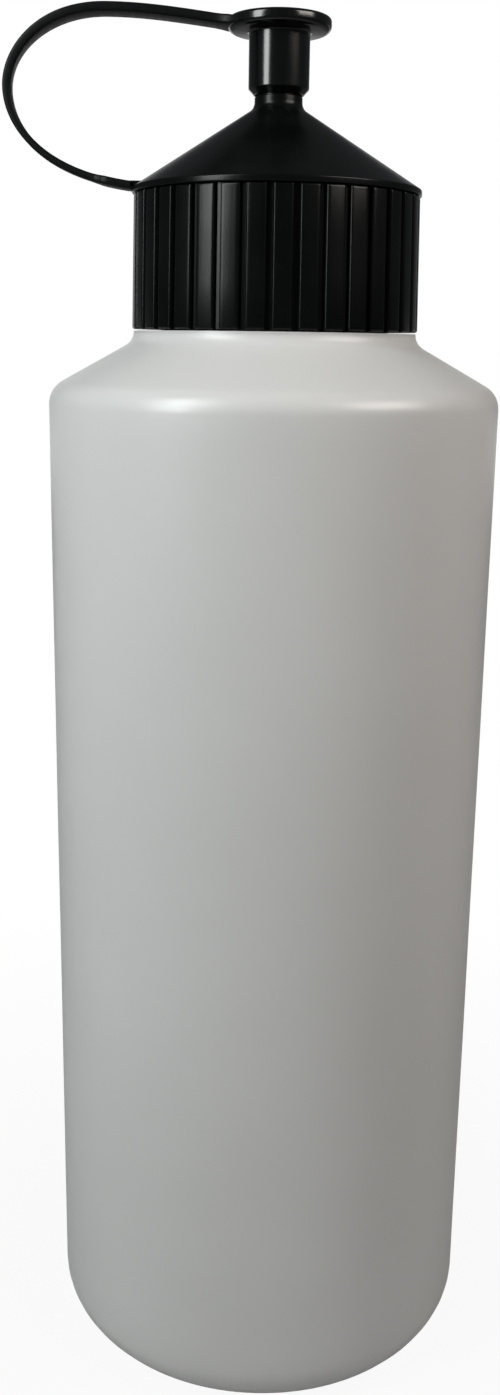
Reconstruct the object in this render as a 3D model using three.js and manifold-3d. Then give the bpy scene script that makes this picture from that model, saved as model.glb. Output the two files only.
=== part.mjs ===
// Squeeze bottle with a ribbed screw cap, a straight spout and a tip cap on a strap.
// Millimetres, +Z up. The origin is on the bottle's axis, in the plane that the bottle stands on.
// The strap leaves the cap towards -X.
import * as THREE from "three";
import { mergeVertices } from "three/addons/utils/BufferGeometryUtils.js";
import Module from "manifold-3d";

const wasm = await Module();
wasm.setup();

// Bottle: a round blow-moulded body, open at the neck
const bodyRadius = 43;
const bodyHeight = 197.6;
const bodyWall = 1.3;
const heelRadius = 10;
const standRingWidth = 3;
const baseRecess = 2.5;
const baseRecessSlope = 4;
const shoulderRounding = 4.8;
const shoulderRise = 9;
const collarRadius = 26.8;
const collarFillet = 3.1;
const collarHeight = 1.8;
const neckRadius = 21.2;
const neckHeight = 22.4;
const neckWall = 2.2;
const rimRounding = 0.5;

// Seal washer, the gap that every seated face keeps, and the room for the screw thread
const seatGap = 0.3;
const threadRoom = 1.7;
const washerThickness = 1.6;
const washerInset = 0.6;
const washerSideGap = 0.5;

// Screw cap: ribbed skirt, lip, cone and spout
const skirtWall = 3.74;
const skirtDraft = 0.46;
const skirtEdgeChamfer = 0.45;
const ribCount = 36;
const grooveDepth = 0.9;
const grooveFloorWidth = 0.7;
const grooveWallWidth = 1.1;
const grooveMouthWidth = 1.8;
const ribEdge = 0.3;
const ribTopBevel = 0.6;
const lipOverhang = 0.31;
const lipThickness = 1;
const lipRounding = 0.35;
const coneRise = 14.2;
const coneWall = 2;
const sealLedgeWidth = 3.4;
const mouthChamfer = 0.7;

// Spout on the cone, with the hole that the liquid leaves by
const spoutRadius = 4.42;
const spoutFillet = 2;
const spoutBareLength = 2.3;
const spoutTipLength = 8.8;
const spoutTipStep = 0.32;
const spoutTipTaper = 0.3;
const spoutTipChamfer = 0.5;
const spoutHoleRadius = 1.8;

// Tip cap: a socket over the spout, a plug in its hole, and a flange to pull
const tipCapWall = 1.19;
const tipCapChamferHeight = 1;
const tipCapEdgeWidth = 0.2;
const flangeDrop = 10.6;
const flangeRadius = 9.46;
const flangeThickness = 2.5;
const flangeRounding = 0.7;
const flangeFillet = 0.9;
const plugLength = 4;
const plugChamfer = 0.5;
const socketClearance = 0.3;

// Strap between the cap's tab and the flange
const strapRootThickness = 1.45;
const strapLowThickness = 1.3;
const strapHighThickness = 1.65;
const strapThicknessShares = [0, 0.06, 0.1, 0.26, 0.42, 1];
const strapSeatRise = 0.75;
const strapEdge = 0.3;
const strapRootWidth = 5.7;
const strapLowWidth = 3.2;
const strapHighWidth = 5.6;
const strapNeckWidth = 6.8;
const strapFlangeWidth = 9.4;
const strapWidthShares = [0, 0.055, 0.085, 0.36, 0.62, 0.94, 0.975, 1];
const strapRootAngle = 0.125;
const strapFlangeAngle = 0.13;
const loopOverhang = 22.4;
const loopCrownRise = 1.85;
const loopSideShare = 0.585;
const loopCrownShare = 0.54;
const loopHandleShares = [0.73, 0.41, 0.46, 0.64, 0.27, 0.5];
const tabThickness = 1.65;
const tabReach = 0.25;

// How finely the curves are cut up
const bodySegments = 72;
const capSegments = 60;
const tipSegments = 40;
const strapSteps = 46;
const arcSag = 0.12;
const cutOverrun = 1;

// Heights and radii that follow from the sizes above
const neckBase = bodyHeight + shoulderRise + collarHeight;
const rimHeight = neckBase + neckHeight;
const neckBoreRadius = neckRadius - neckWall;
const washerBase = rimHeight + seatGap;
const ledgeHeight = washerBase + washerThickness + seatGap;
const capBoreRadius = neckRadius + threadRoom;
const skirtTopRadius = capBoreRadius + skirtWall;
const skirtBottomRadius = skirtTopRadius + skirtDraft;
const lipRadius = skirtTopRadius + lipOverhang;
const capBase = neckBase + seatGap;
const skirtTop = ledgeHeight;
const lipTop = skirtTop + lipThickness;
const spoutBase = lipTop + coneRise;
const tipCapBase = spoutBase + spoutBareLength;
const spoutTipTop = tipCapBase + spoutTipLength;
const spoutTipRadius = spoutRadius - spoutTipStep;
const socketRadius = spoutTipRadius + socketClearance;
const tipCapRadius = socketRadius + tipCapWall;
const flangeBase = tipCapBase + flangeDrop;
const flangeTop = flangeBase + flangeThickness;

// Turns a closed geometry into a solid: shared vertices are merged and empty triangles dropped
function solidFrom(geometry) {
  const bare = geometry.clone();
  bare.deleteAttribute("normal");
  bare.deleteAttribute("uv");
  const merged = mergeVertices(bare);
  const from = merged.index.array;
  const triVerts = [];
  for (let i = 0; i < from.length; i += 3) {
    const [a, b, c] = from.slice(i, i + 3);
    if (a !== b && b !== c && c !== a) triVerts.push(a, b, c);
  }
  return new wasm.Manifold(
    new wasm.Mesh({
      numProp: 3,
      vertProperties: merged.attributes.position.array,
      triVerts: new Uint32Array(triVerts),
    }),
  );
}

function meshFrom(solid, name, material) {
  const made = solid.getMesh();
  const geometry = new THREE.BufferGeometry();
  geometry.setAttribute("position", new THREE.BufferAttribute(made.vertProperties, made.numProp));
  geometry.setIndex(new THREE.BufferAttribute(made.triVerts, 1));
  const mesh = new THREE.Mesh(geometry, material);
  mesh.name = name;
  return mesh;
}

// An outline from corners, each [distance from the axis, height] with an optional rounding
function outline(corners) {
  const points = [];
  corners.forEach(([x, y, rounding], i) => {
    const corner = new THREE.Vector2(x, y);
    if (!rounding) {
      points.push(corner);
      return;
    }
    const back = new THREE.Vector2(...corners[i - 1].slice(0, 2)).sub(corner).normalize();
    const on = new THREE.Vector2(...corners[i + 1].slice(0, 2)).sub(corner).normalize();
    const half = Math.acos(back.dot(on)) / 2;
    const centre = back.clone().add(on).setLength(rounding / Math.sin(half)).add(corner);
    const touch = back.clone().multiplyScalar(rounding / Math.tan(half)).add(corner).sub(centre);
    const sweep = (Math.PI - 2 * half) * -Math.sign(back.cross(on));
    const widest = 2 * Math.acos(1 - Math.min(1, arcSag / rounding));
    const steps = Math.max(2, Math.ceil(Math.abs(sweep) / widest));
    for (let k = 0; k <= steps; k += 1) {
      const turned = touch.clone().rotateAround(new THREE.Vector2(), (sweep * k) / steps);
      points.push(turned.add(centre));
    }
  });
  return points;
}

// A solid turned about +Z. The corners run up the outside, and end on the axis or where they began
function turned(corners, segments) {
  return solidFrom(new THREE.LatheGeometry(outline(corners), segments).rotateX(Math.PI / 2));
}

// A solid through rings of as many points each, closed at both ends by fans about their middles.
// Seen from the last ring, the points of each ring run anticlockwise
function lofted(rings) {
  const sides = rings[0].length;
  const first = rings.length * sides;
  const middles = [rings[0], rings[rings.length - 1]].map((ring) =>
    ring.reduce((sum, p) => sum.add(p), new THREE.Vector3()).divideScalar(sides),
  );
  const positions = [...rings.flat(), ...middles].flatMap((p) => p.toArray());
  const index = [];
  for (let i = 0; i + 1 < rings.length; i += 1) {
    for (let k = 0; k < sides; k += 1) {
      const a = i * sides + k;
      const b = i * sides + ((k + 1) % sides);
      index.push(a, b, b + sides, a, b + sides, a + sides);
    }
  }
  for (let k = 0; k < sides; k += 1) {
    const next = (k + 1) % sides;
    index.push(first, next, k, first + 1, first - sides + k, first - sides + next);
  }
  const geometry = new THREE.BufferGeometry();
  geometry.setAttribute("position", new THREE.Float32BufferAttribute(positions, 3));
  geometry.setIndex(index);
  return solidFrom(geometry);
}

function makeBottle() {
  const standOuter = bodyRadius - heelRadius;
  const standInner = standOuter - standRingWidth;
  const recessRadius = standInner - baseRecessSlope;
  const innerRadius = bodyRadius - bodyWall;
  const shoulderAngle = Math.atan2(shoulderRise, bodyRadius - collarRadius);
  const shoulderDrop = bodyWall * Math.tan((Math.PI / 2 - shoulderAngle) / 2);
  const innerShoulder = bodyHeight - bodyWall * Math.tan(shoulderAngle / 2);
  const innerNeck = innerShoulder + (innerRadius - neckBoreRadius) * Math.tan(shoulderAngle);
  return turned(
    [
      [0, baseRecess],
      [recessRadius, baseRecess],
      [standInner, 0],
      [standOuter, 0],
      [bodyRadius, 0, heelRadius],
      [bodyRadius, bodyHeight, shoulderRounding],
      [collarRadius, bodyHeight + shoulderRise, collarFillet],
      [collarRadius, neckBase],
      [neckRadius, neckBase],
      [neckRadius, rimHeight, rimRounding],
      [neckBoreRadius, rimHeight, rimRounding],
      [neckBoreRadius, innerNeck, shoulderDrop],
      [innerRadius, innerShoulder, shoulderRounding - bodyWall],
      [innerRadius, bodyWall, heelRadius - bodyWall],
      [standInner, bodyWall],
      [recessRadius, baseRecess + bodyWall],
      [0, baseRecess + bodyWall],
    ],
    bodySegments,
  );
}

function makeSealRing() {
  const inner = neckBoreRadius - washerInset;
  const outer = capBoreRadius - washerSideGap;
  return turned(
    [
      [inner, washerBase],
      [outer, washerBase],
      [outer, washerBase + washerThickness],
      [inner, washerBase + washerThickness],
      [inner, washerBase],
    ],
    capSegments,
  );
}

// One groove between two ribs, as [depth, distance from the groove's middle line]
const grooveSection = [
  [0, -grooveMouthWidth / 2],
  [ribEdge, -grooveWallWidth / 2],
  [grooveDepth, -grooveFloorWidth / 2],
  [grooveDepth, grooveFloorWidth / 2],
  [ribEdge, grooveWallWidth / 2],
  [0, grooveMouthWidth / 2],
];

// The ribbed outline at one height of the drafted skirt, drawn in by at least this much
function ribbedRing(height, drawnIn) {
  const climb = (height - capBase) / (skirtTop - capBase);
  const radius = THREE.MathUtils.lerp(skirtBottomRadius, skirtTopRadius, climb);
  const axis = new THREE.Vector3(0, 0, 1);
  const ring = [];
  for (let k = 0; k < ribCount; k += 1) {
    const angle = ((k + 0.5) / ribCount) * 2 * Math.PI;
    grooveSection.forEach(([depth, across]) => {
      const point = new THREE.Vector3(radius - Math.max(depth, drawnIn), across, height);
      ring.push(point.applyAxisAngle(axis, angle));
    });
  }
  return ring;
}

// The skirt as a solid plug: its top runs on inside the lip
function ribbedSkirt() {
  return lofted([
    ribbedRing(capBase, skirtEdgeChamfer),
    ribbedRing(capBase + skirtEdgeChamfer, 0),
    ribbedRing(skirtTop - ribTopBevel, 0),
    ribbedRing(skirtTop, ribTopBevel),
    ribbedRing(skirtTop + lipThickness / 2, ribTopBevel),
  ]);
}

// Lip, cone and spout, solid
function capTop() {
  return turned(
    [
      [0, skirtTop],
      [lipRadius, skirtTop],
      [lipRadius, lipTop, lipRounding],
      [spoutRadius, spoutBase, spoutFillet],
      [spoutRadius, tipCapBase - seatGap],
      [spoutTipRadius, tipCapBase - seatGap],
      [spoutTipRadius - spoutTipTaper, spoutTipTop - spoutTipChamfer],
      [spoutTipRadius - spoutTipTaper - spoutTipChamfer, spoutTipTop],
      [0, spoutTipTop],
    ],
    capSegments,
  );
}

// The hollow of the cap, from its mouth up to the spout's hole
function capHollow() {
  const coneSlope = coneRise / (lipRadius - spoutRadius);
  const coneDrop = coneWall * Math.hypot(1, coneSlope);
  const coneInside = (radius) => lipTop + (lipRadius - radius) * coneSlope - coneDrop;
  const ledgeInner = capBoreRadius - sealLedgeWidth;
  return turned(
    [
      [0, capBase - cutOverrun],
      [capBoreRadius + mouthChamfer, capBase - cutOverrun],
      [capBoreRadius + mouthChamfer, capBase],
      [capBoreRadius, capBase + mouthChamfer],
      [capBoreRadius, ledgeHeight],
      [ledgeInner, ledgeHeight],
      [ledgeInner, coneInside(ledgeInner)],
      [spoutHoleRadius, coneInside(spoutHoleRadius)],
      [spoutHoleRadius, spoutTipTop + cutOverrun],
      [0, spoutTipTop + cutOverrun],
    ],
    capSegments,
  );
}

function makeScrewCap() {
  return ribbedSkirt().add(capTop()).add(strapTab()).subtract(capHollow());
}

// The tab on the lip that the strap grows from
const tabOuter = lipRadius + tabReach;
const tabTop = lipTop + tabThickness - lipThickness / 2;

function strapTab() {
  const inner = lipRadius - sealLedgeWidth;
  const tab = new THREE.BoxGeometry(tabOuter - inner, strapRootWidth, tabThickness);
  return solidFrom(tab.translate(-(tabOuter + inner) / 2, 0, tabTop - tabThickness / 2));
}

// The strap's middle line, in the plane y = 0: up and out from the tab, round, and down to the flange
function strapLine() {
  const root = new THREE.Vector3(-tabOuter - seatGap, 0, tabTop - strapRootThickness / 2);
  const end = new THREE.Vector3(
    -flangeRadius,
    0,
    flangeBase + strapSeatRise + strapHighThickness / 2,
  );
  const side = new THREE.Vector3(
    -tabOuter - loopOverhang,
    0,
    THREE.MathUtils.lerp(root.z, end.z, loopSideShare),
  );
  const crown = new THREE.Vector3(
    THREE.MathUtils.lerp(end.x, side.x, loopCrownShare),
    0,
    end.z + loopCrownRise,
  );
  const [rootShare, lowShare, highShare, leftShare, rightShare, endShare] = loopHandleShares;
  const step = (from, angle, length) =>
    new THREE.Vector3(from.x + length * Math.cos(angle), 0, from.z + length * Math.sin(angle));
  const line = new THREE.CurvePath();
  line.add(
    new THREE.CubicBezierCurve3(
      root,
      step(root, Math.PI - strapRootAngle, rootShare * (root.x - side.x)),
      step(side, -Math.PI / 2, lowShare * (side.z - root.z)),
      side,
    ),
  );
  line.add(
    new THREE.CubicBezierCurve3(
      side,
      step(side, Math.PI / 2, highShare * (crown.z - side.z)),
      step(crown, Math.PI, leftShare * (crown.x - side.x)),
      crown,
    ),
  );
  line.add(
    new THREE.CubicBezierCurve3(
      crown,
      step(crown, 0, rightShare * (end.x - crown.x)),
      step(end, Math.PI - strapFlangeAngle, endShare * (end.x - crown.x)),
      end,
    ),
  );
  return line;
}

// The strap's width and thickness at their stations: it is wider at the tab and at the flange
const strapWidths = [
  strapRootWidth,
  strapRootWidth,
  strapLowWidth,
  strapLowWidth,
  strapHighWidth,
  strapHighWidth,
  strapNeckWidth,
  strapFlangeWidth,
];
const strapThicknesses = [
  strapRootThickness,
  strapRootThickness,
  strapLowThickness,
  strapLowThickness,
  strapHighThickness,
  strapHighThickness,
];

// A size at a share of the strap's length, which changes smoothly from station to station
function sizeAlong(share, stationShares, sizes) {
  const k = stationShares.findIndex((station, i) => i > 0 && share <= station);
  const [from, to] = stationShares.slice(k - 1, k + 1);
  const onward = THREE.MathUtils.smoothstep(share, from, to);
  return THREE.MathUtils.lerp(sizes[k - 1], sizes[k], onward);
}

function makeTetherStrap() {
  const line = strapLine();
  const rings = [];
  for (let i = 0; i <= strapSteps; i += 1) {
    const share = i / strapSteps;
    const at = line.getPointAt(share);
    const along = line.getTangentAt(share);
    const up = new THREE.Vector3(-along.z, 0, along.x);
    const w = sizeAlong(share, strapWidthShares, strapWidths) / 2;
    const t = sizeAlong(share, strapThicknessShares, strapThicknesses) / 2;
    const section = [
      [w - strapEdge, -t],
      [w, -t + strapEdge],
      [w, t - strapEdge],
      [w - strapEdge, t],
      [-w + strapEdge, t],
      [-w, t - strapEdge],
      [-w, -t + strapEdge],
      [-w + strapEdge, -t],
    ];
    rings.push(section.map(([y, n]) => up.clone().multiplyScalar(n).add(at).setY(y)));
  }
  const height = 2 * (flangeThickness + strapHighThickness);
  const disc = new THREE.CylinderGeometry(
    flangeRadius + seatGap,
    flangeRadius + seatGap,
    height,
    tipSegments,
  ).rotateX(Math.PI / 2);
  return lofted(rings).subtract(solidFrom(disc.translate(0, 0, flangeBase)));
}

function makeTipCap() {
  const roof = spoutTipTop + seatGap;
  const plugRadius = spoutHoleRadius - socketClearance;
  return turned(
    [
      [0, roof - plugLength],
      [plugRadius - plugChamfer, roof - plugLength],
      [plugRadius, roof - plugLength + plugChamfer],
      [plugRadius, roof],
      [socketRadius, roof],
      [socketRadius, tipCapBase],
      [socketRadius + tipCapEdgeWidth, tipCapBase],
      [tipCapRadius, tipCapBase + tipCapChamferHeight],
      [tipCapRadius, flangeBase, flangeFillet],
      [flangeRadius, flangeBase, flangeRounding],
      [flangeRadius, flangeTop, flangeRounding],
      [0, flangeTop],
    ],
    tipSegments,
  );
}

const bottlePlastic = new THREE.MeshStandardMaterial({ color: 0xd9d7d5, roughness: 0.42 });
const capPlastic = new THREE.MeshStandardMaterial({ color: 0x0c0d0d, roughness: 0.38 });
const tipPlastic = new THREE.MeshStandardMaterial({ color: 0x0b0c0c, roughness: 0.25 });
const strapPlastic = new THREE.MeshStandardMaterial({ color: 0x0e0e0f, roughness: 0.45 });
const sealFoam = new THREE.MeshStandardMaterial({ color: 0xe6e4df, roughness: 0.8 });

const closure = new THREE.Group();
closure.add(
  meshFrom(makeScrewCap(), "screw_cap", capPlastic),
  meshFrom(makeTetherStrap(), "tether_strap", strapPlastic),
  meshFrom(makeTipCap(), "tip_cap", tipPlastic),
);

const group = new THREE.Group();
group.add(
  meshFrom(makeBottle(), "bottle", bottlePlastic),
  meshFrom(makeSealRing(), "seal_ring", sealFoam),
  closure,
);

export default group;
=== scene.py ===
"""Looks of the squeeze bottle: fine meshes, finishes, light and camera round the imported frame.

Metres, +Z up, in the frame of the CAD model: the bottle's axis is Z and the strap lies towards -X.
"""

import math

import bpy
from mathutils import Matrix, Vector, noise


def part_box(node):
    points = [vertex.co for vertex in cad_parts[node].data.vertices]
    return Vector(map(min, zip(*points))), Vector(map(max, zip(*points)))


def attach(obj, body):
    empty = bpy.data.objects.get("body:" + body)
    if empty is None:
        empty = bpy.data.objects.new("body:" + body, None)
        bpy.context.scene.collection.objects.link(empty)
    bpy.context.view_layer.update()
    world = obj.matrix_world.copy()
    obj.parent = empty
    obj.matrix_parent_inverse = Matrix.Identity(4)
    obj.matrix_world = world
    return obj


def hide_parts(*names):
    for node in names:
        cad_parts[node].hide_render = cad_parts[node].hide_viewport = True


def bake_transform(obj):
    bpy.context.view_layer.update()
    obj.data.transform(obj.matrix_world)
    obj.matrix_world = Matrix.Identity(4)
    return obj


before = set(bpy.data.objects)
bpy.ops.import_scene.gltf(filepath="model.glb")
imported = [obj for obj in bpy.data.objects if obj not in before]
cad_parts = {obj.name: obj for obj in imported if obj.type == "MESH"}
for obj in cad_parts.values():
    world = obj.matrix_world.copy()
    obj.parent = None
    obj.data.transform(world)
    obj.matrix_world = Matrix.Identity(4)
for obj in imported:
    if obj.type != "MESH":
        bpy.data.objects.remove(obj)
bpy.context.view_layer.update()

MM = 0.001

# Bottle
BODY_WALL = 1.3 * MM
HEEL_RADIUS = 10 * MM
STAND_RING_WIDTH = 3 * MM
STAND_RING_ROUNDING = 1.2 * MM
BASE_RECESS = 2.5 * MM
BASE_RECESS_SLOPE = 4 * MM
BODY_HEIGHT = 197.6 * MM
SHOULDER_ROUNDING = 4.8 * MM
SHOULDER_RISE = 9 * MM
COLLAR_RADIUS = 26.8 * MM
COLLAR_FILLET = 3.1 * MM
COLLAR_HEIGHT = 1.8 * MM
COLLAR_EDGE = 0.5 * MM
NECK_RADIUS = 21.2 * MM
NECK_WALL = 2.2 * MM
NECK_FILLET = 0.8 * MM
RIM_ROUNDING = 0.6 * MM
WALL_WAVE = 0.05 * MM
WALL_WAVE_LENGTH = 46 * MM
PARTING_HEIGHT = 0.08 * MM
PARTING_WIDTH = 0.6 * MM
PINCH_LENGTH = 34 * MM
PINCH_WIDTH = 1.1 * MM
PINCH_HEIGHT = 0.45 * MM

# Thread between the neck and the cap
THREAD_PITCH = 4 * MM
THREAD_TURNS = 2.25
THREAD_HEIGHT = 1.25 * MM
THREAD_ROOT = 2.1 * MM
THREAD_CREST = 0.7 * MM
THREAD_BELOW_RIM = 3.6 * MM
THREAD_GAP = 0.35 * MM
THREAD_FADE_SHARE = 0.07

# Seal washer
WASHER_BORE_INSET = 0.6 * MM
WASHER_ROUNDING = 0.15 * MM

# Screw cap
SEAT_GAP = 0.3 * MM
THREAD_ROOM = 1.7 * MM
SKIRT_WALL = 3.74 * MM
SKIRT_DRAFT = 0.46 * MM
SKIRT_EDGE = 0.45 * MM
RIB_COUNT = 36
GROOVE_DEPTH = 0.9 * MM
GROOVE_FLOOR = 0.7 * MM
GROOVE_MOUTH = 1.8 * MM
GROOVE_FLARE = 2.2
RIB_TOP_BEVEL = 0.6 * MM
LIP_OVERHANG = 0.31 * MM
LIP_THICKNESS = 1 * MM
LIP_ROUNDING = 0.35 * MM
CONE_RISE = 14.2 * MM
CONE_WALL = 2 * MM
SEAL_LEDGE_WIDTH = 3.4 * MM
MOUTH_CHAMFER = 0.7 * MM
SPOUT_RADIUS = 4.42 * MM
SPOUT_FILLET = 2 * MM
SPOUT_STEP_ROUNDING = 0.25 * MM
SPOUT_TIP_STEP = 0.32 * MM
SPOUT_TIP_TAPER = 0.3 * MM
SPOUT_TIP_CHAMFER = 0.5 * MM
SPOUT_HOLE_RADIUS = 1.8 * MM

# Tip cap
SOCKET_CLEARANCE = 0.3 * MM
TIP_CAP_WALL = 1.19 * MM
TIP_CAP_CHAMFER = 1 * MM
TIP_CAP_EDGE = 0.2 * MM
FLANGE_DROP = 10.6 * MM
FLANGE_RADIUS = 9.46 * MM
FLANGE_THICKNESS = 2.5 * MM
FLANGE_ROUNDING = 0.7 * MM
FLANGE_UNDER_ROUNDING = 1.1 * MM
FLANGE_FILLET = 0.4 * MM
PLUG_LENGTH = 4 * MM
PLUG_CHAMFER = 0.5 * MM

# Strap and its tab
STRAP_ROOT_THICKNESS = 1.45 * MM
STRAP_LOW_THICKNESS = 1.3 * MM
STRAP_HIGH_THICKNESS = 1.65 * MM
STRAP_END_THICKNESS = 1.0 * MM
STRAP_THICKNESS_SHARES = [0, 0.06, 0.1, 0.26, 0.42, 1]
STRAP_SEAT_RISE = 0.75 * MM
STRAP_EDGE = 0.45 * MM
STRAP_RUN_ON = 0.9 * MM
STRAP_FLANGE_RUN_ON = 2.2 * MM
STRAP_FLARE_RADIUS = 5 * MM
STRAP_SINK = 0.15 * MM
STRAP_ROOT_WIDTH = 5.7 * MM
STRAP_LOW_WIDTH = 3.2 * MM
STRAP_HIGH_WIDTH = 5.6 * MM
STRAP_WIDTH_SHARES = [0, 0.055, 0.085, 0.36, 0.62, 1]
STRAP_ROOT_ANGLE = 0.125
STRAP_FLANGE_ANGLE = 0.13
LOOP_OVERHANG = 22.4 * MM
LOOP_CROWN_RISE = 1.85 * MM
LOOP_SIDE_SHARE = 0.585
LOOP_CROWN_SHARE = 0.54
LOOP_HANDLE_SHARES = [0.73, 0.41, 0.46, 0.64, 0.27, 0.5]
TAB_THICKNESS = 1.65 * MM
TAB_REACH = 0.25 * MM
TAB_ROUNDING = 0.3 * MM

# Heights and radii that the frame gives, or that follow from it
BODY_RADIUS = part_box("bottle")[1].x
RIM_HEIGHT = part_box("bottle")[1].z
CAP_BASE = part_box("screw_cap")[0].z
SPOUT_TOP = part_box("screw_cap")[1].z
WASHER_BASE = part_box("seal_ring")[0].z
WASHER_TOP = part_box("seal_ring")[1].z
WASHER_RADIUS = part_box("seal_ring")[1].x
TIP_CAP_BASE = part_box("tip_cap")[0].z
NECK_BASE = BODY_HEIGHT + SHOULDER_RISE + COLLAR_HEIGHT
NECK_BORE = NECK_RADIUS - NECK_WALL
CAP_BORE = NECK_RADIUS + THREAD_ROOM
SKIRT_TOP = WASHER_TOP + SEAT_GAP
SKIRT_TOP_RADIUS = CAP_BORE + SKIRT_WALL
SKIRT_BOTTOM_RADIUS = SKIRT_TOP_RADIUS + SKIRT_DRAFT
LIP_RADIUS = SKIRT_TOP_RADIUS + LIP_OVERHANG
LIP_TOP = SKIRT_TOP + LIP_THICKNESS
SPOUT_BASE = LIP_TOP + CONE_RISE
SPOUT_TIP_RADIUS = SPOUT_RADIUS - SPOUT_TIP_STEP
SOCKET_RADIUS = SPOUT_TIP_RADIUS + SOCKET_CLEARANCE
TIP_CAP_RADIUS = SOCKET_RADIUS + TIP_CAP_WALL
FLANGE_BASE = TIP_CAP_BASE + FLANGE_DROP
FLANGE_TOP = FLANGE_BASE + FLANGE_THICKNESS
TAB_OUTER = LIP_RADIUS + TAB_REACH
TAB_TOP = LIP_TOP + TAB_THICKNESS - LIP_THICKNESS / 2
NECK_THREAD_FIRST = RIM_HEIGHT - THREAD_BELOW_RIM - THREAD_TURNS * THREAD_PITCH
THREAD_DROP = (THREAD_ROOT + THREAD_CREST) / 2 + THREAD_GAP

# How finely the meshes are cut
ARC_STEP = math.radians(9)
LEAST_ARC_STEPS = 3
BODY_ANGLES = 288
ROUND_ANGLES = 144
BODY_ROW = 4 * MM
THREAD_ROW = 0.25 * MM
PARTING_STEPS = 4
FLANK_STEPS = 6
FLANK_CROWDING = 1.4
CROWN_STEPS = 3
SKIRT_ROWS = 3
SKIRT_EDGE_STEPS = 5
STRAP_CURVE_STEPS = 60
STRAP_END_STEPS = 8
STRAP_CORNER_STEPS = 4
TAB_STEPS = 6
SMOOTH_LIMIT = math.radians(32)

# The photograph's camera, in the photograph's pixels and in the frame's metres
PHOTO_HEIGHT = 1395
FOCAL_PX = 1387.4
SENSOR = 36.0
CAMERA_DISTANCE = 0.27448
CAMERA_HEIGHT = 0.20656
CAMERA_SIDE = 0.00065
CAMERA_PITCH = math.radians(14.359)
CAMERA_ROLL = math.radians(0.807)
CAMERA_YAW = math.radians(-0.909)
STRAP_TURN = math.radians(2.7)
CLIP_START = 10 * MM

# Studio
AMBIENT = 0.09
AMBIENT_TINT = (0.93, 0.95, 1.0)
FLOOR_SIZE = 6.0
FLOOR_COLOUR = (0.5, 0.5, 0.5)
FLOOR_ROUGHNESS = 0.8
FLOOR_SPECULAR = 0.1
FLOOR_WHITE_SHARE = 0.93
FLOOR_FADE = (0.06, 0.22)

# Where the mirrored backdrop starts and is full: Y of the direction in the world, and Y on the floor
BACKDROP_REACH = (0.9, 0.98)
FLOOR_BACKDROP_REACH = (1.4, 2.2)

# Finishes of the bottle and the washer: colours at both ends of a noise, and heights of the grain
BOTTLE_COLOURS = ((0.612, 0.607, 0.602), (0.642, 0.637, 0.634))
BOTTLE_ROUGHNESS = (0.29, 0.36)
BOTTLE_DRAG = (1, 1, 0.12)
BOTTLE_GRAIN = 0.006 * MM
SOAK_SHARE = 0.2
SOAK_COLOUR = (1.0, 0.95, 0.85)
SOAK_DEPTH = 3 * MM
FOAM_COLOURS = ((0.62, 0.61, 0.57), (0.74, 0.73, 0.69))
FOAM_ROUGHNESS = 0.75
FOAM_CELLS = 0.04 * MM


def outline(corners):
    """Points (radius, height) along corners, of which a third value is the corner's rounding."""
    points = []
    for i, corner in enumerate(corners):
        here = Vector(corner[:2])
        if len(corner) < 3:
            points.append(here)
            continue
        back = (Vector(corners[i - 1][:2]) - here).normalized()
        on = (Vector(corners[i + 1][:2]) - here).normalized()
        half = back.angle(on) / 2
        centre = here + (back + on).normalized() * (corner[2] / math.sin(half))
        touch = here + back * (corner[2] / math.tan(half)) - centre
        sweep = (math.pi - 2 * half) * -math.copysign(1, back.cross(on))
        steps = max(LEAST_ARC_STEPS, math.ceil(abs(sweep) / ARC_STEP))
        for k in range(steps + 1):
            points.append(centre + Matrix.Rotation(sweep * k / steps, 2) @ touch)
    return points


def refined(points, longest):
    """The same points, with more between them wherever they lie further apart than longest."""
    fine = [points[0]]
    for a, b in zip(points, points[1:]):
        steps = max(1, math.ceil((b - a).length / longest))
        fine.extend(a.lerp(b, k / steps) for k in range(1, steps + 1))
    return fine


def even_angles(count):
    """Angles once round, all the same step apart."""
    return [2 * math.pi * k / count for k in range(count)]


def ring(angles, radius, height):
    """Points round the axis. The radius and the height may be functions of the angle."""
    made = []
    for a in angles:
        r = radius(a) if callable(radius) else radius
        z = height(a) if callable(height) else height
        made.append((a, Vector((r * math.cos(a), r * math.sin(a), z))))
    return made


def bridge(first, second, start_a, start_b):
    """Faces between two rings: quads where they have the same angles, and otherwise a zip of triangles."""
    count_a, count_b = len(first), len(second)
    if count_a == 1:
        return [(start_a, start_b + (k + 1) % count_b, start_b + k) for k in range(count_b)]
    if count_b == 1:
        return [(start_a + k, start_a + (k + 1) % count_a, start_b) for k in range(count_a)]
    if [a for a, _ in first] == [b for b, _ in second]:
        return [
            (start_a + k, start_a + (k + 1) % count_a, start_b + (k + 1) % count_a, start_b + k)
            for k in range(count_a)
        ]
    faces = []
    i = j = 0
    while i < count_a or j < count_b:
        next_a = first[i + 1][0] if i + 1 < count_a else first[0][0] + 2 * math.pi
        next_b = second[j + 1][0] if j + 1 < count_b else second[0][0] + 2 * math.pi
        here_a, here_b = start_a + i % count_a, start_b + j % count_b
        if j >= count_b or (i < count_a and next_a <= next_b):
            faces.append((here_a, start_a + (i + 1) % count_a, here_b))
            i += 1
        else:
            faces.append((here_a, start_b + (j + 1) % count_b, here_b))
            j += 1
    return faces


def skin(name, rings, closed=False):
    """A smooth mesh object through rings, bottom first on the outside. Closed joins the last to the first."""
    starts = [0]
    for r in rings:
        starts.append(starts[-1] + len(r))
    pairs = list(zip(range(len(rings) - 1), range(1, len(rings))))
    if closed:
        pairs.append((len(rings) - 1, 0))
    faces = []
    for i, j in pairs:
        faces.extend(bridge(rings[i], rings[j], starts[i], starts[j]))
    return mesh_object(name, [p for r in rings for _, p in r], faces)


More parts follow.
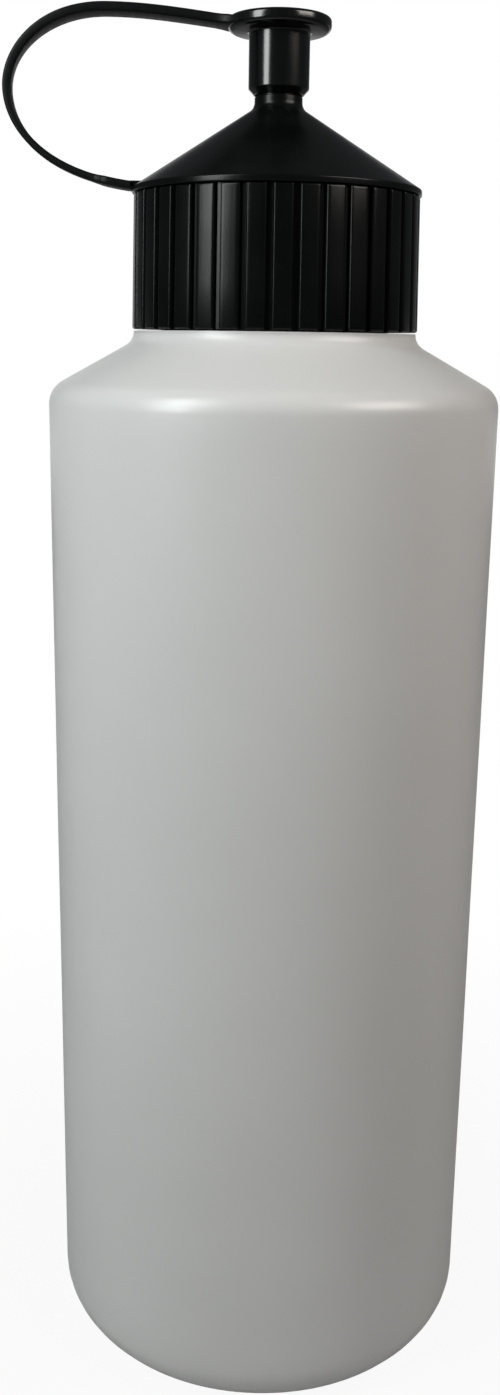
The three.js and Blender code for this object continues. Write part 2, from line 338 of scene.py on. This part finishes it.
def mesh_object(name, points, faces):
    """A mesh object that is smooth, apart from edges sharper than the limit."""
    mesh = bpy.data.meshes.new(name)
    mesh.from_pydata([tuple(p) for p in points], [], faces)
    mesh.validate()
    mesh.shade_smooth()
    mesh.set_sharp_from_angle(angle=SMOOTH_LIMIT)
    made = bpy.data.objects.new(name, mesh)
    bpy.context.scene.collection.objects.link(made)
    return made


def turned(name, corners, angles, closed=False):
    """A piece turned about the axis from its outline. An outline that ends on the axis closes there."""
    rings = []
    for p in outline(corners):
        rings.append(ring(angles if p.x > 0 else [0.0], p.x, p.y))
    return skin(name, rings, closed)


def smoothstep(x):
    """Eases x from 0 to 1, and stays level outside them."""
    x = min(1, max(0, x))
    return x * x * (3 - 2 * x)


def hump(distance, width):
    """A smooth hump, 1 at no distance and 0 from half the width on."""
    share = min(1, abs(distance) / (width / 2))
    return (1 - share * share) ** 2


def fade(share, end_share):
    """1 in the middle, and down to 0 over the end share at both ends."""
    return min(1, share / end_share, (1 - share) / end_share)


def thread_rise(angle, height, first_height):
    """How far the thread ridge stands out of its wall at one place. It starts at first_height and angle 0."""
    best = 0
    for lap in range(math.ceil(THREAD_TURNS)):
        turn = lap + angle / (2 * math.pi)
        if turn > THREAD_TURNS:
            continue
        off = abs(height - first_height - turn * THREAD_PITCH)
        flank = (THREAD_ROOT - THREAD_CREST) / 2
        eased = smoothstep((THREAD_ROOT / 2 - off) / flank)
        best = max(best, eased * THREAD_HEIGHT * fade(turn / THREAD_TURNS, THREAD_FADE_SHARE))
    return best


def bottle_angles():
    """Even angles, with closer ones at the two parting lines."""
    close = [
        side + k * PARTING_WIDTH / PARTING_STEPS / BODY_RADIUS
        for side in (0, math.pi)
        for k in range(1 - PARTING_STEPS, PARTING_STEPS)
    ]
    return sorted({round(a % (2 * math.pi), 6) for a in even_angles(BODY_ANGLES) + close})


def parting(angle, radius):
    """The mould's parting line, on both sides."""
    off = min(abs(math.remainder(angle - side, 2 * math.pi)) for side in (0, math.pi))
    return PARTING_HEIGHT * hump(off * radius, PARTING_WIDTH)


def wall_wave(angle, height):
    """The slow waves of a blown wall."""
    place = Vector((math.cos(angle), math.sin(angle), 0)) * BODY_RADIUS + Vector((0, 0, height))
    return WALL_WAVE * noise.noise(place / WALL_WAVE_LENGTH)


def pinch(angle, radius):
    """The seam that the mould's pinch leaves across the recess of the base."""
    along = abs(radius * math.cos(angle))
    across = radius * math.sin(angle)
    return PINCH_HEIGHT * hump(across, PINCH_WIDTH) * min(1, max(0, (PINCH_LENGTH / 2 - along) / PINCH_WIDTH))


def make_bottle():
    stand_outer = BODY_RADIUS - HEEL_RADIUS
    stand_inner = stand_outer - STAND_RING_WIDTH
    recess_radius = stand_inner - BASE_RECESS_SLOPE
    inner_radius = BODY_RADIUS - BODY_WALL
    slope = math.atan2(SHOULDER_RISE, BODY_RADIUS - COLLAR_RADIUS)
    inner_shoulder = BODY_HEIGHT - BODY_WALL * math.tan(slope / 2)
    inner_neck = inner_shoulder + (inner_radius - NECK_BORE) * math.tan(slope)
    angles = bottle_angles()
    base = outline([
        (0, BASE_RECESS),
        (recess_radius, BASE_RECESS, BASE_RECESS_SLOPE / 3),
        (stand_inner, 0, STAND_RING_ROUNDING),
        (stand_outer, 0),
    ])
    side = outline([
        (stand_outer, 0),
        (BODY_RADIUS, 0, HEEL_RADIUS),
        (BODY_RADIUS, BODY_HEIGHT, SHOULDER_ROUNDING),
        (COLLAR_RADIUS, BODY_HEIGHT + SHOULDER_RISE, COLLAR_FILLET),
        (COLLAR_RADIUS, NECK_BASE, COLLAR_EDGE),
        (NECK_RADIUS, NECK_BASE, NECK_FILLET),
        (NECK_RADIUS, NECK_BASE + 2 * NECK_FILLET),
    ])
    neck = outline([
        (NECK_RADIUS, NECK_BASE + 2 * NECK_FILLET),
        (NECK_RADIUS, RIM_HEIGHT - 2 * RIM_ROUNDING),
    ])
    inside = outline([
        (NECK_RADIUS, RIM_HEIGHT - 2 * RIM_ROUNDING),
        (NECK_RADIUS, RIM_HEIGHT, RIM_ROUNDING),
        (NECK_BORE, RIM_HEIGHT, RIM_ROUNDING),
        (NECK_BORE, inner_neck, COLLAR_FILLET),
        (inner_radius, inner_shoulder, SHOULDER_ROUNDING - BODY_WALL),
        (inner_radius, BODY_WALL, HEEL_RADIUS - BODY_WALL),
        (stand_inner, BODY_WALL),
        (recess_radius, BASE_RECESS + BODY_WALL),
        (0, BASE_RECESS + BODY_WALL),
    ])
    rings = []
    for p in refined(base, PINCH_WIDTH):
        if p.x < PINCH_WIDTH / 8:
            rings.append(ring([0.0], 0, p.y - PINCH_HEIGHT))
            continue
        rings.append(ring(angles, p.x, lambda a, p=p: p.y - pinch(a, p.x)))
    for p in refined(side, BODY_ROW)[1:]:
        rings.append(ring(angles, lambda a, p=p: p.x + parting(a, p.x) + wall_wave(a, p.y), p.y))
    for p in refined(neck, THREAD_ROW)[1:]:
        rings.append(
            ring(angles, lambda a, p=p: p.x + thread_rise(a, p.y, NECK_THREAD_FIRST) + wall_wave(a, p.y), p.y)
        )
    for p in inside[1:]:
        rings.append(ring(angles if p.x > 0 else [0.0], p.x, p.y))
    return skin("bottle_shell", rings)


def make_seal():
    inner = NECK_BORE - WASHER_BORE_INSET
    return turned(
        "seal_washer",
        [
            (inner, WASHER_BASE, WASHER_ROUNDING),
            (WASHER_RADIUS, WASHER_BASE, WASHER_ROUNDING),
            (WASHER_RADIUS, WASHER_TOP, WASHER_ROUNDING),
            (inner, WASHER_TOP, WASHER_ROUNDING),
            (inner, (WASHER_BASE + WASHER_TOP) / 2),
        ],
        even_angles(ROUND_ANGLES),
        closed=True,
    )


def rib_angles():
    """Angles round the ribbed skirt: close together on the flanks of each groove."""
    pitch = 2 * math.pi / RIB_COUNT
    half = pitch * SKIRT_TOP_RADIUS / 2
    floor, mouth = GROOVE_FLOOR / 2, GROOVE_MOUTH / 2
    flank = [floor + (mouth - floor) * (k / FLANK_STEPS) ** FLANK_CROWDING for k in range(FLANK_STEPS + 1)]
    crown = [mouth + (half - mouth) * k / CROWN_STEPS for k in range(1, CROWN_STEPS)]
    one_side = [floor / 2] + flank + crown
    offs = sorted([0, half] + one_side + [-x for x in one_side])
    return sorted(
        (((k + 0.5) * pitch) + x / SKIRT_TOP_RADIUS) % (2 * math.pi) for k in range(RIB_COUNT) for x in offs
    )


def groove_depth(angle):
    """Depth of the grooves below the rib crowns at one angle."""
    pitch = 2 * math.pi / RIB_COUNT
    off = abs(math.remainder(angle - pitch / 2, pitch)) * SKIRT_TOP_RADIUS
    if off <= GROOVE_FLOOR / 2:
        return GROOVE_DEPTH
    share = min(1, (off - GROOVE_FLOOR / 2) / (GROOVE_MOUTH / 2 - GROOVE_FLOOR / 2))
    return GROOVE_DEPTH * (1 - share) ** GROOVE_FLARE


def ribbed_ring(angles, height, drawn_in):
    """The ribbed outside at one height. Near its ends the crowns are drawn in."""
    climb = (height - CAP_BASE) / (SKIRT_TOP - CAP_BASE)
    crown = SKIRT_BOTTOM_RADIUS + (SKIRT_TOP_RADIUS - SKIRT_BOTTOM_RADIUS) * climb
    return ring(angles, lambda a: crown - max(groove_depth(a), drawn_in), height)


def skirt_rings():
    """The skirt's outside, bottom first, with its edges rounded."""
    angles = rib_angles()
    rings = []
    for k in range(SKIRT_EDGE_STEPS + 1):
        turn = math.pi / 2 * k / SKIRT_EDGE_STEPS
        height = CAP_BASE + SKIRT_EDGE * (1 - math.cos(turn))
        rings.append(ribbed_ring(angles, height, SKIRT_EDGE * (1 - math.sin(turn))))
    start, end = CAP_BASE + SKIRT_EDGE, SKIRT_TOP - RIB_TOP_BEVEL
    for k in range(1, SKIRT_ROWS + 1):
        rings.append(ribbed_ring(angles, start + (end - start) * k / SKIRT_ROWS, 0))
    for k in range(1, SKIRT_EDGE_STEPS + 1):
        turn = math.pi / 2 * k / SKIRT_EDGE_STEPS
        height = SKIRT_TOP - RIB_TOP_BEVEL * (1 - math.sin(turn))
        rings.append(ribbed_ring(angles, height, RIB_TOP_BEVEL * (1 - math.cos(turn))))
    return rings


def make_cap():
    cone_slope = CONE_RISE / (LIP_RADIUS - SPOUT_RADIUS)
    cone_drop = CONE_WALL * math.hypot(1, cone_slope)
    ledge_inner = CAP_BORE - SEAL_LEDGE_WIDTH

    def cone_inside(radius):
        return LIP_TOP + (LIP_RADIUS - radius) * cone_slope - cone_drop

    upper = outline([
        (SKIRT_TOP_RADIUS, SKIRT_TOP),
        (LIP_RADIUS, SKIRT_TOP, LIP_ROUNDING / 2),
        (LIP_RADIUS, LIP_TOP, LIP_ROUNDING),
        (SPOUT_RADIUS, SPOUT_BASE, SPOUT_FILLET),
        (SPOUT_RADIUS, TIP_CAP_BASE - SEAT_GAP, SPOUT_STEP_ROUNDING),
        (SPOUT_TIP_RADIUS, TIP_CAP_BASE - SEAT_GAP),
        (SPOUT_TIP_RADIUS - SPOUT_TIP_TAPER, SPOUT_TOP - SPOUT_TIP_CHAMFER, SPOUT_TIP_CHAMFER / 2),
        (SPOUT_TIP_RADIUS - SPOUT_TIP_TAPER - SPOUT_TIP_CHAMFER, SPOUT_TOP, SPOUT_TIP_CHAMFER / 2),
        (SPOUT_HOLE_RADIUS, SPOUT_TOP, SPOUT_TIP_CHAMFER / 4),
        (SPOUT_HOLE_RADIUS, cone_inside(SPOUT_HOLE_RADIUS), SPOUT_TIP_CHAMFER),
        (ledge_inner, cone_inside(ledge_inner), SPOUT_TIP_CHAMFER),
        (ledge_inner, SKIRT_TOP, SPOUT_TIP_CHAMFER / 2),
        (CAP_BORE, SKIRT_TOP, SPOUT_TIP_CHAMFER / 2),
        (CAP_BORE, SKIRT_TOP - THREAD_PITCH / 4),
    ])
    bore = outline([
        (CAP_BORE, SKIRT_TOP - THREAD_PITCH / 4),
        (CAP_BORE, CAP_BASE + 2 * MOUTH_CHAMFER),
    ])
    mouth = outline([
        (CAP_BORE, CAP_BASE + 2 * MOUTH_CHAMFER),
        (CAP_BORE, CAP_BASE + MOUTH_CHAMFER, MOUTH_CHAMFER / 3),
        (CAP_BORE + MOUTH_CHAMFER, CAP_BASE),
    ])
    thread_first = NECK_THREAD_FIRST - THREAD_DROP
    angles = even_angles(ROUND_ANGLES)
    rings = skirt_rings()
    rings.extend(ring(angles, p.x, p.y) for p in upper[1:])
    for p in refined(bore, THREAD_ROW)[1:]:
        rings.append(ring(angles, lambda a, p=p: p.x - thread_rise(a, p.y, thread_first), p.y))
    rings.extend(ring(angles, p.x, p.y) for p in mouth[1:])
    return skin("cap_shell", rings, closed=True)


def make_tip_cap():
    roof = SPOUT_TOP + SEAT_GAP
    plug_radius = SPOUT_HOLE_RADIUS - SOCKET_CLEARANCE
    return turned(
        "tip_cap_shell",
        [
            (0, roof - PLUG_LENGTH),
            (plug_radius - PLUG_CHAMFER, roof - PLUG_LENGTH, PLUG_CHAMFER / 3),
            (plug_radius, roof - PLUG_LENGTH + PLUG_CHAMFER, PLUG_CHAMFER / 3),
            (plug_radius, roof, PLUG_CHAMFER / 3),
            (SOCKET_RADIUS, roof, PLUG_CHAMFER / 3),
            (SOCKET_RADIUS, TIP_CAP_BASE),
            (SOCKET_RADIUS + TIP_CAP_EDGE, TIP_CAP_BASE),
            (TIP_CAP_RADIUS, TIP_CAP_BASE + TIP_CAP_CHAMFER, TIP_CAP_CHAMFER / 3),
            (TIP_CAP_RADIUS, FLANGE_BASE, FLANGE_FILLET),
            (FLANGE_RADIUS, FLANGE_BASE, FLANGE_UNDER_ROUNDING),
            (FLANGE_RADIUS, FLANGE_TOP, FLANGE_ROUNDING),
            (0, FLANGE_TOP),
        ],
        even_angles(ROUND_ANGLES),
    )


def bezier(a, b, c, d, t):
    """The place at t on the cubic curve from a to d."""
    s = 1 - t
    return a * s**3 + b * (3 * s * s * t) + c * (3 * s * t * t) + d * t**3


def strap_line():
    """The strap's middle line as close points, from inside the tab round to inside the flange."""

    def step(start, angle, length):
        return start + Vector((math.cos(angle), 0, math.sin(angle))) * length

    root = Vector((-TAB_OUTER - SEAT_GAP, 0, TAB_TOP - STRAP_ROOT_THICKNESS / 2))
    end = Vector((-FLANGE_RADIUS, 0, FLANGE_BASE + STRAP_SEAT_RISE + STRAP_HIGH_THICKNESS / 2))
    side = Vector((-TAB_OUTER - LOOP_OVERHANG, 0, root.z + (end.z - root.z) * LOOP_SIDE_SHARE))
    crown = Vector((end.x + (side.x - end.x) * LOOP_CROWN_SHARE, 0, end.z + LOOP_CROWN_RISE))
    root_share, low_share, high_share, left_share, right_share, end_share = LOOP_HANDLE_SHARES
    curves = [
        (
            root,
            step(root, math.pi - STRAP_ROOT_ANGLE, root_share * (root.x - side.x)),
            step(side, -math.pi / 2, low_share * (side.z - root.z)),
            side,
        ),
        (
            side,
            step(side, math.pi / 2, high_share * (crown.z - side.z)),
            step(crown, math.pi, left_share * (crown.x - side.x)),
            crown,
        ),
        (
            crown,
            step(crown, 0, right_share * (end.x - crown.x)),
            step(end, math.pi - STRAP_FLANGE_ANGLE, end_share * (end.x - crown.x)),
            end,
        ),
    ]
    points = [bezier(*c, k / STRAP_CURVE_STEPS) for c in curves for k in range(STRAP_CURVE_STEPS)]
    return points + [end]


def size_along(share, stations, sizes):
    """A size at a share of the strap's length, which changes smoothly from station to station."""
    for k in range(1, len(stations)):
        if share <= stations[k]:
            climb = smoothstep((share - stations[k - 1]) / (stations[k] - stations[k - 1]))
            return sizes[k - 1] + (sizes[k] - sizes[k - 1]) * climb
    return sizes[-1]


def flared_width(x, width):
    """The width at x near the flange, where a round fillet on either side leads into its rim."""
    reach = FLANGE_RADIUS + STRAP_FLARE_RADIUS
    side = width / 2 + STRAP_FLARE_RADIUS
    start = -math.sqrt(reach**2 - side**2)
    if x <= start:
        return width
    if x <= start * FLANGE_RADIUS / reach:
        return 2 * (side - math.sqrt(STRAP_FLARE_RADIUS**2 - (x - start) ** 2))
    return 2 * (math.sqrt(FLANGE_RADIUS**2 - x**2) - STRAP_SINK)


def rounded_rectangle(width, height, rounding):
    """A rounded rectangle about (0, 0), anticlockwise."""
    made = []
    for turn, (sx, sy) in enumerate([(1, 1), (-1, 1), (-1, -1), (1, -1)]):
        for k in range(STRAP_CORNER_STEPS + 1):
            a = math.pi / 2 * (turn + k / STRAP_CORNER_STEPS)
            made.append(
                Vector((
                    sx * (width / 2 - rounding) + rounding * math.cos(a),
                    sy * (height / 2 - rounding) + rounding * math.sin(a),
                ))
            )
    return made


def swept(name, sections):
    """A closed solid through sections of as many points each."""
    count = len(sections[0])
    points = [p for s in sections for p in s]
    faces = []
    for i in range(len(sections) - 1):
        for k in range(count):
            a, b = i * count + k, i * count + (k + 1) % count
            faces.append((a, b, b + count, a + count))
    faces.append(tuple(range(count))[::-1])
    faces.append(tuple((len(sections) - 1) * count + k for k in range(count)))
    return mesh_object(name, points, faces)


def make_strap():
    """The strap, run on a little into the tab and into the flange that it grows from."""
    line = strap_line()
    lengths = [0.0]
    for a, b in zip(line, line[1:]):
        lengths.append(lengths[-1] + (b - a).length)
    root, low, high = STRAP_ROOT_WIDTH, STRAP_LOW_WIDTH, STRAP_HIGH_WIDTH
    sizes = []
    for here, length in zip(line, lengths):
        share = length / lengths[-1]
        width = size_along(share, STRAP_WIDTH_SHARES, [root, root, low, low, high, high])
        thickness = size_along(share, STRAP_THICKNESS_SHARES, [
            STRAP_ROOT_THICKNESS, STRAP_ROOT_THICKNESS,
            STRAP_LOW_THICKNESS, STRAP_LOW_THICKNESS,
            STRAP_HIGH_THICKNESS, STRAP_HIGH_THICKNESS,
        ])
        sizes.append((flared_width(here.x, width), thickness))
    end = line[-1]
    drop = end.z - (FLANGE_BASE + FLANGE_THICKNESS / 2)
    for k in range(1, STRAP_END_STEPS + 1):
        share = k / STRAP_END_STEPS
        line.append(end + Vector((STRAP_FLANGE_RUN_ON * share, 0, -drop * share)))
        thickness = STRAP_HIGH_THICKNESS + (STRAP_END_THICKNESS - STRAP_HIGH_THICKNESS) * share
        sizes.append((flared_width(line[-1].x, high), thickness))
    line.insert(0, line[0] + Vector((STRAP_RUN_ON, 0, 0)))
    sizes.insert(0, sizes[0])
    sections = []
    for i, here in enumerate(line):
        along = (line[min(i + 1, len(line) - 1)] - line[max(i - 1, 0)]).normalized()
        up = Vector((-along.z, 0, along.x))
        sections.append([
            here + Vector((0, p.x, 0)) + up * p.y for p in rounded_rectangle(*sizes[i], STRAP_EDGE)
        ])
    return swept("strap_band", sections)


def make_tab():
    """The tab on the lip that the strap grows from."""
    inner = LIP_RADIUS - SEAL_LEDGE_WIDTH
    sections = []
    for k in range(TAB_STEPS + 1):
        x = -inner - (TAB_OUTER - inner) * k / TAB_STEPS
        sections.append([
            Vector((x, p.x, TAB_TOP - TAB_THICKNESS / 2 + p.y))
            for p in rounded_rectangle(STRAP_ROOT_WIDTH, TAB_THICKNESS, TAB_ROUNDING)
        ])
    return swept("strap_tab", sections)


def set_in(node, name, value):
    node.inputs[name].default_value = value


def new_material(name):
    """A material with its node tree, its shader, and the place on the piece in metres."""
    made = bpy.data.materials.new(name)
    made.use_nodes = True
    tree = made.node_tree
    shader = tree.nodes["Principled BSDF"]
    place = tree.nodes.new("ShaderNodeTexCoord").outputs["Object"]
    return made, tree, shader, place


def noise_at(tree, place, scale, detail=3.0, stretch=(1, 1, 1)):
    """A noise texture's value, in features of 1/scale metres, longer where the stretch is under 1."""
    mapping = tree.nodes.new("ShaderNodeMapping")
    set_in(mapping, "Scale", stretch)
    texture = tree.nodes.new("ShaderNodeTexNoise")
    set_in(texture, "Scale", scale)
    set_in(texture, "Detail", detail)
    tree.links.new(place, mapping.inputs["Vector"])
    tree.links.new(mapping.outputs["Vector"], texture.inputs["Vector"])
    return texture.outputs["Fac"]


def ranged(tree, value, low, high, start=0.3, end=0.7):
    """The value's span from start to end, mapped to low and high."""
    node = tree.nodes.new("ShaderNodeMapRange")
    set_in(node, "From Min", start)
    set_in(node, "From Max", end)
    set_in(node, "To Min", low)
    set_in(node, "To Max", high)
    tree.links.new(value, node.inputs["Value"])
    return node.outputs["Result"]


def mixed(tree, value, first, second):
    """A colour that runs from the first to the second with the value."""
    node = tree.nodes.new("ShaderNodeMix")
    node.data_type = "RGBA"
    node.inputs["A"].default_value = (*first, 1)
    node.inputs["B"].default_value = (*second, 1)
    tree.links.new(value, node.inputs["Factor"])
    return node.outputs["Result"]


def bumped(tree, shader, heights):
    """Bumps laid one on the other: each is (value, distance in metres)."""
    normal = None
    for value, distance in heights:
        node = tree.nodes.new("ShaderNodeBump")
        set_in(node, "Strength", 1.0)
        set_in(node, "Distance", distance)
        tree.links.new(value, node.inputs["Height"])
        if normal:
            tree.links.new(normal, node.inputs["Normal"])
        normal = node.outputs["Normal"]
    tree.links.new(normal, shader.inputs["Normal"])


def bottle_finish():
    """Satin natural polyethylene: a little light soaks in, and the skin has a fine moulded grain."""
    made, tree, shader, place = new_material("bottle_plastic")
    cloud = noise_at(tree, place, scale=22, detail=2)
    grain = noise_at(tree, place, scale=900, detail=4)
    drag = noise_at(tree, place, scale=260, stretch=BOTTLE_DRAG)
    colour = mixed(tree, ranged(tree, cloud, 0, 1), *BOTTLE_COLOURS)
    tree.links.new(colour, shader.inputs["Base Color"])
    tree.links.new(ranged(tree, drag, *BOTTLE_ROUGHNESS), shader.inputs["Roughness"])
    set_in(shader, "Subsurface Weight", SOAK_SHARE)
    set_in(shader, "Subsurface Radius", SOAK_COLOUR)
    set_in(shader, "Subsurface Scale", SOAK_DEPTH)
    bumped(tree, shader, [(grain, BOTTLE_GRAIN)])
    return made


def black_finish(name, dark, light, roughness, level, grain_height, streaks):
    """Black moulded plastic, with streaks along the way that the mould was drawn."""
    made, tree, shader, place = new_material(name)
    cloud = noise_at(tree, place, scale=120)
    grain = noise_at(tree, place, scale=2600)
    streak = noise_at(tree, place, scale=1300, stretch=streaks)
    colour = mixed(tree, ranged(tree, cloud, 0, 1), dark, light)
    tree.links.new(colour, shader.inputs["Base Color"])
    tree.links.new(ranged(tree, streak, *roughness), shader.inputs["Roughness"])
    set_in(shader, "Specular IOR Level", level)
    bumped(tree, shader, [(grain, grain_height), (streak, grain_height)])
    return made


def foam_finish():
    """Pale closed-cell foam of the washer."""
    made, tree, shader, place = new_material("seal_foam")
    cells = noise_at(tree, place, scale=2200, detail=2)
    colour = mixed(tree, ranged(tree, cells, 0, 1), *FOAM_COLOURS)
    tree.links.new(colour, shader.inputs["Base Color"])
    set_in(shader, "Roughness", FOAM_ROUGHNESS)
    bumped(tree, shader, [(cells, FOAM_CELLS)])
    return made


def dress(piece, material, body, node):
    """Gives a piece its material, the node that it replaces, and the body that it rides on."""
    piece.data.materials.append(material)
    if node:
        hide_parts(node)
    if body:
        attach(piece, body)
    return piece


def make_camera():
    """The photograph's camera: the strap is turned a little towards it."""
    spin = Matrix.Rotation(-CAMERA_YAW, 3, "Z")
    part = Matrix.Rotation(-STRAP_TURN, 3, "Z")
    right = Vector((1, 0, 0))
    up = Vector((0, math.sin(CAMERA_PITCH), math.cos(CAMERA_PITCH)))
    rolled_right = right * math.cos(CAMERA_ROLL) + up * math.sin(CAMERA_ROLL)
    rolled_up = up * math.cos(CAMERA_ROLL) - right * math.sin(CAMERA_ROLL)
    back = rolled_right.cross(rolled_up)
    axes = Matrix((rolled_right, rolled_up, back)).transposed()
    data = bpy.data.cameras.new("camera")
    data.sensor_width = SENSOR
    data.lens = FOCAL_PX * SENSOR / PHOTO_HEIGHT
    data.clip_start = CLIP_START
    made = bpy.data.objects.new("camera", data)
    made.matrix_world = Matrix.Translation(
        part @ Vector((CAMERA_SIDE, -CAMERA_DISTANCE, CAMERA_HEIGHT))
    ) @ (part @ spin @ axes).to_4x4()
    bpy.context.scene.collection.objects.link(made)
    bpy.context.scene.camera = made


def make_lamp(name, direction, distance, size, power, colour, mirrored=True):
    """A rectangular lamp that faces the bottle's middle, from (azimuth, elevation) in degrees.

    A lamp that isn't mirrored gives its light, but doesn't show in glossy surfaces.
    """
    azimuth, elevation = (math.radians(x) for x in direction)
    aim = Vector((0, 0, RIM_HEIGHT / 2))
    away = Vector((
        math.sin(azimuth) * math.cos(elevation),
        -math.cos(azimuth) * math.cos(elevation),
        math.sin(elevation),
    ))
    data = bpy.data.lights.new(name, "AREA")
    data.shape = "RECTANGLE"
    data.size, data.size_y = size
    data.energy = power
    data.color = colour
    made = bpy.data.objects.new(name, data)
    made.location = aim + away * distance
    made.rotation_mode = "QUATERNION"
    made.rotation_quaternion = away.to_track_quat("Z", "Y")
    made.visible_glossy = mirrored
    bpy.context.scene.collection.objects.link(made)


def backdrop_share(tree, place, reach):
    """1 for camera rays, and for shiny and clear surfaces' rays as the place's Y runs through the reach."""
    path = tree.nodes.new("ShaderNodeLightPath")
    split = tree.nodes.new("ShaderNodeSeparateXYZ")
    tree.links.new(place, split.inputs[0])
    behind = ranged(tree, split.outputs["Y"], 0, 1, *reach)
    shiny = joined(tree, "MAXIMUM", path.outputs["Is Glossy Ray"], path.outputs["Is Transmission Ray"])
    seen = joined(tree, "MULTIPLY", shiny, behind)
    return joined(tree, "MAXIMUM", path.outputs["Is Camera Ray"], seen)


def joined(tree, operation, first, second):
    """Two values, joined by the operation."""
    node = tree.nodes.new("ShaderNodeMath")
    node.operation = operation
    tree.links.new(first, node.inputs[0])
    tree.links.new(second, node.inputs[1])
    return node.outputs["Value"]


def make_world():
    """Soft surrounding light, and a backdrop that is white where it is seen or mirrored far back."""
    world = bpy.data.worlds.new("studio")
    bpy.context.scene.world = world
    world.use_nodes = True
    tree = world.node_tree
    soft = tree.nodes["Background"]
    set_in(soft, "Color", (*AMBIENT_TINT, 1))
    set_in(soft, "Strength", AMBIENT)
    white = tree.nodes.new("ShaderNodeBackground")
    set_in(white, "Color", (1, 1, 1, 1))
    towards = tree.nodes.new("ShaderNodeVectorMath")
    towards.operation = "NORMALIZE"
    tree.links.new(tree.nodes.new("ShaderNodeTexCoord").outputs["Generated"], towards.inputs[0])
    mix = tree.nodes.new("ShaderNodeMixShader")
    tree.links.new(backdrop_share(tree, towards.outputs["Vector"], BACKDROP_REACH), mix.inputs["Fac"])
    tree.links.new(soft.outputs["Background"], mix.inputs[1])
    tree.links.new(white.outputs["Background"], mix.inputs[2])
    tree.links.new(mix.outputs["Shader"], tree.nodes["World Output"].inputs["Surface"])


def make_floor():
    """A pale floor that takes the bottle's shadow and runs out into the white backdrop."""
    half = FLOOR_SIZE / 2
    points = [(-half, -half, 0), (half, -half, 0), (half, half, 0), (-half, half, 0)]
    floor = mesh_object("floor", points, [(0, 1, 2, 3)])
    made, tree, shader, place = new_material("floor_pale")
    set_in(shader, "Base Color", (*FLOOR_COLOUR, 1))
    set_in(shader, "Roughness", FLOOR_ROUGHNESS)
    set_in(shader, "Specular IOR Level", FLOOR_SPECULAR)
    white = tree.nodes.new("ShaderNodeEmission")
    away = tree.nodes.new("ShaderNodeVectorMath")
    away.operation = "LENGTH"
    tree.links.new(place, away.inputs[0])
    far = ranged(tree, away.outputs["Value"], FLOOR_WHITE_SHARE, 1, *FLOOR_FADE)
    mix = tree.nodes.new("ShaderNodeMixShader")
    seen = backdrop_share(tree, place, FLOOR_BACKDROP_REACH)
    tree.links.new(joined(tree, "MULTIPLY", far, seen), mix.inputs["Fac"])
    tree.links.new(shader.outputs["BSDF"], mix.inputs[1])
    tree.links.new(white.outputs["Emission"], mix.inputs[2])
    tree.links.new(mix.outputs["Shader"], tree.nodes["Material Output"].inputs["Surface"])
    floor.data.materials.append(made)


make_camera()
bpy.context.scene.view_settings.view_transform = "Standard"
make_world()
make_floor()
make_lamp(
    "key",
    direction=(-51, 36),
    distance=0.4,
    size=(0.12, 0.28),
    power=1.2,
    colour=(0.955, 1.0, 0.985),
)
make_lamp(
    "fill",
    direction=(57, 42.5),
    distance=0.4,
    size=(0.2, 0.14),
    power=0.71,
    colour=(1.0, 0.945, 0.885),
)
make_lamp(
    "back",
    direction=(180, 22),
    distance=0.7,
    size=(0.4, 0.3),
    power=0.6,
    colour=(1.0, 1.0, 1.0),
    mirrored=False,
)

skirt_black = black_finish(
    "cap_plastic",
    dark=(0.0014, 0.0019, 0.0018),
    light=(0.003, 0.0038, 0.0036),
    roughness=(0.24, 0.268),
    level=0.17,
    grain_height=0.01 * MM,
    streaks=(1, 1, 0.03),
)
strap_black = black_finish(
    "strap_plastic",
    dark=(0.002, 0.0023, 0.0026),
    light=(0.0035, 0.0039, 0.0044),
    roughness=(0.4, 0.5),
    level=0.15,
    grain_height=0.006 * MM,
    streaks=(1, 0.1, 1),
)
tip_black = black_finish(
    "tip_plastic",
    dark=(0.0008, 0.0012, 0.0012),
    light=(0.0018, 0.0024, 0.0024),
    roughness=(0.15, 0.2),
    level=0.55,
    grain_height=0.003 * MM,
    streaks=(1, 1, 0.05),
)

dress(make_bottle(), bottle_finish(), "bottle", "bottle")
dress(make_seal(), foam_finish(), "seal", "seal_ring")
dress(make_cap(), skirt_black, "cap", "screw_cap")
dress(make_tab(), skirt_black, "cap", None)
dress(make_tip_cap(), tip_black, "tip", "tip_cap")
strap = dress(make_strap(), strap_black, None, "tether_strap")
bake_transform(strap)
